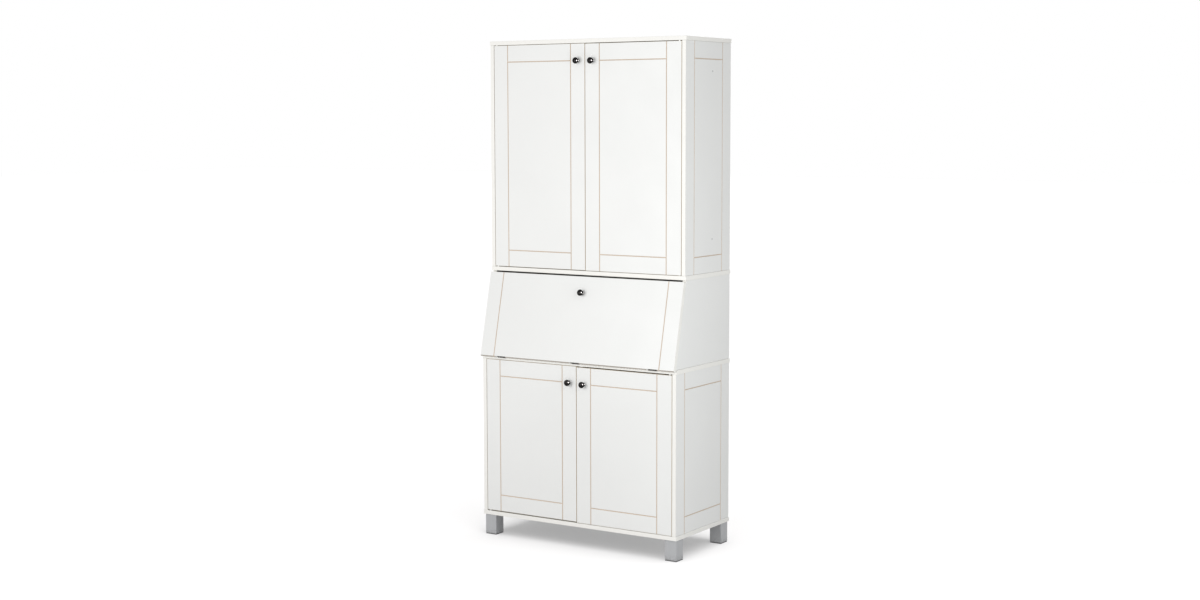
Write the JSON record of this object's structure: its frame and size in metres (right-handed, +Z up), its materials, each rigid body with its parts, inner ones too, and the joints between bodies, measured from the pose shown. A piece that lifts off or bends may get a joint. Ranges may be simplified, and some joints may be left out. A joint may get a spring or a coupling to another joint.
{
  "type": "drop-front secretary desk",
  "caption": "Tall white secretary: a cupboard on square metal legs, a desk section behind a sloping drop flap on slotted stays, and a bookcase, with grooved doors and round dark knobs.",
  "frame": {"origin": "on the floor, at the middle of the footprint of the whole piece, knobs included", "axes": "+X to the right for a person in front of it, +Y to the back (doors and flap face -Y), +Z up"},
  "size_m": [0.9, 0.4352, 1.971],
  "materials": {
    "white_board": "white melamine coating, satin",
    "white_hardboard": "white lacquered hardboard, matt",
    "black_nickel": "polished black nickel",
    "satin_aluminium": "satin",
    "zinc_steel": "zinc plated",
    "bronzed_steel": "bronzed, dark",
    "dark_plastic": "matt",
    "white_plastic": "matt"
  },
  "bodies": {
    "carcass": {"front_left_leg": "satin_aluminium", "front_right_leg": "satin_aluminium", "back_left_leg": "satin_aluminium", "back_right_leg": "satin_aluminium", "front_left_glide": "dark_plastic", "front_right_glide": "dark_plastic", "back_left_glide": "dark_plastic", "back_right_glide": "dark_plastic", "lower_bottom_board": "white_board", "lower_top_board": "white_board", "lower_left_side": "white_board", "lower_right_side": "white_board", "lower_back_panel": "white_hardboard", "lower_shelf": "white_board", "lower_catch": "white_plastic", "lower_left_top_pivot_pin": "zinc_steel", "lower_left_bottom_pivot_pin": "zinc_steel", "lower_right_top_pivot_pin": "zinc_steel", "lower_right_bottom_pivot_pin": "zinc_steel", "desk_left_side": "white_board", "desk_right_side": "white_board", "desk_back_panel": "white_hardboard", "letter_shelf": "white_board", "letter_left_divider": "white_board", "letter_right_divider": "white_board", "left_hinge_desk_leaf": "bronzed_steel", "middle_hinge_desk_leaf": "bronzed_steel", "right_hinge_desk_leaf": "bronzed_steel", "left_stay_stud": "zinc_steel", "right_stay_stud": "zinc_steel", "upper_bottom_board": "white_board", "upper_top_board": "white_board", "upper_left_side": "white_board", "upper_right_side": "white_board", "upper_back_panel": "white_hardboard", "upper_shelf_1": "white_board", "upper_shelf_2": "white_board", "upper_catch": "white_plastic", "upper_left_top_pivot_pin": "zinc_steel", "upper_left_bottom_pivot_pin": "zinc_steel", "upper_right_top_pivot_pin": "zinc_steel", "upper_right_bottom_pivot_pin": "zinc_steel"},
    "upper_left_door_body": {"upper_left_door": "white_board", "upper_left_door_knob": "black_nickel"},
    "upper_right_door_body": {"upper_right_door": "white_board", "upper_right_door_knob": "black_nickel"},
    "lower_left_door_body": {"lower_left_door": "white_board", "lower_left_door_knob": "black_nickel"},
    "lower_right_door_body": {"lower_right_door": "white_board", "lower_right_door_knob": "black_nickel"},
    "flap_body": {"flap": "white_board", "flap_knob": "black_nickel", "left_hinge_flap_leaf": "bronzed_steel", "middle_hinge_flap_leaf": "bronzed_steel", "right_hinge_flap_leaf": "bronzed_steel", "left_stay_bracket": "zinc_steel", "right_stay_bracket": "zinc_steel"},
    "left_stay_body": {"left_stay_bar": "zinc_steel"},
    "right_stay_body": {"right_stay_bar": "zinc_steel"}
  },
  "joints": [
    {"name": "upper_left_door_swing", "type": "hinge", "parent": "carcass", "child": "upper_left_door_body", "pos_m": [-0.41855, -0.12135, 1.517], "axis": [0, 0, -1], "range_deg": [0, 110]},
    {"name": "upper_right_door_swing", "type": "hinge", "parent": "carcass", "child": "upper_right_door_body", "pos_m": [0.41855, -0.12135, 1.517], "axis": [0, 0, 1], "range_deg": [0, 110]},
    {"name": "lower_left_door_swing", "type": "hinge", "parent": "carcass", "child": "lower_left_door_body", "pos_m": [-0.41855, -0.18735, 0.4065], "axis": [0, 0, -1], "range_deg": [0, 110]},
    {"name": "lower_right_door_swing", "type": "hinge", "parent": "carcass", "child": "lower_right_door_body", "pos_m": [0.41855, -0.18735, 0.4065], "axis": [0, 0, 1], "range_deg": [0, 110]},
    {"name": "flap_drop", "type": "hinge", "parent": "carcass", "child": "flap_body", "pos_m": [0, -0.19887, 0.727], "axis": [1, 0, 0], "range_deg": [0, 102.73]},
    {"name": "left_stay_turn", "type": "hinge", "parent": "flap_body", "child": "left_stay_body", "pos_m": [-0.42515, -0.15451, 0.85979], "axis": [1, 0, 0], "range_deg": [-51.5, 0]},
    {"name": "right_stay_turn", "type": "hinge", "parent": "flap_body", "child": "right_stay_body", "pos_m": [0.42515, -0.15451, 0.85979], "axis": [1, 0, 0], "range_deg": [-51.5, 0]}
  ],
  "couplings": [
    {"joint": "left_stay_turn", "follows": "flap_drop", "ratio": -0.5},
    {"joint": "right_stay_turn", "follows": "flap_drop", "ratio": -0.5}
  ]
}
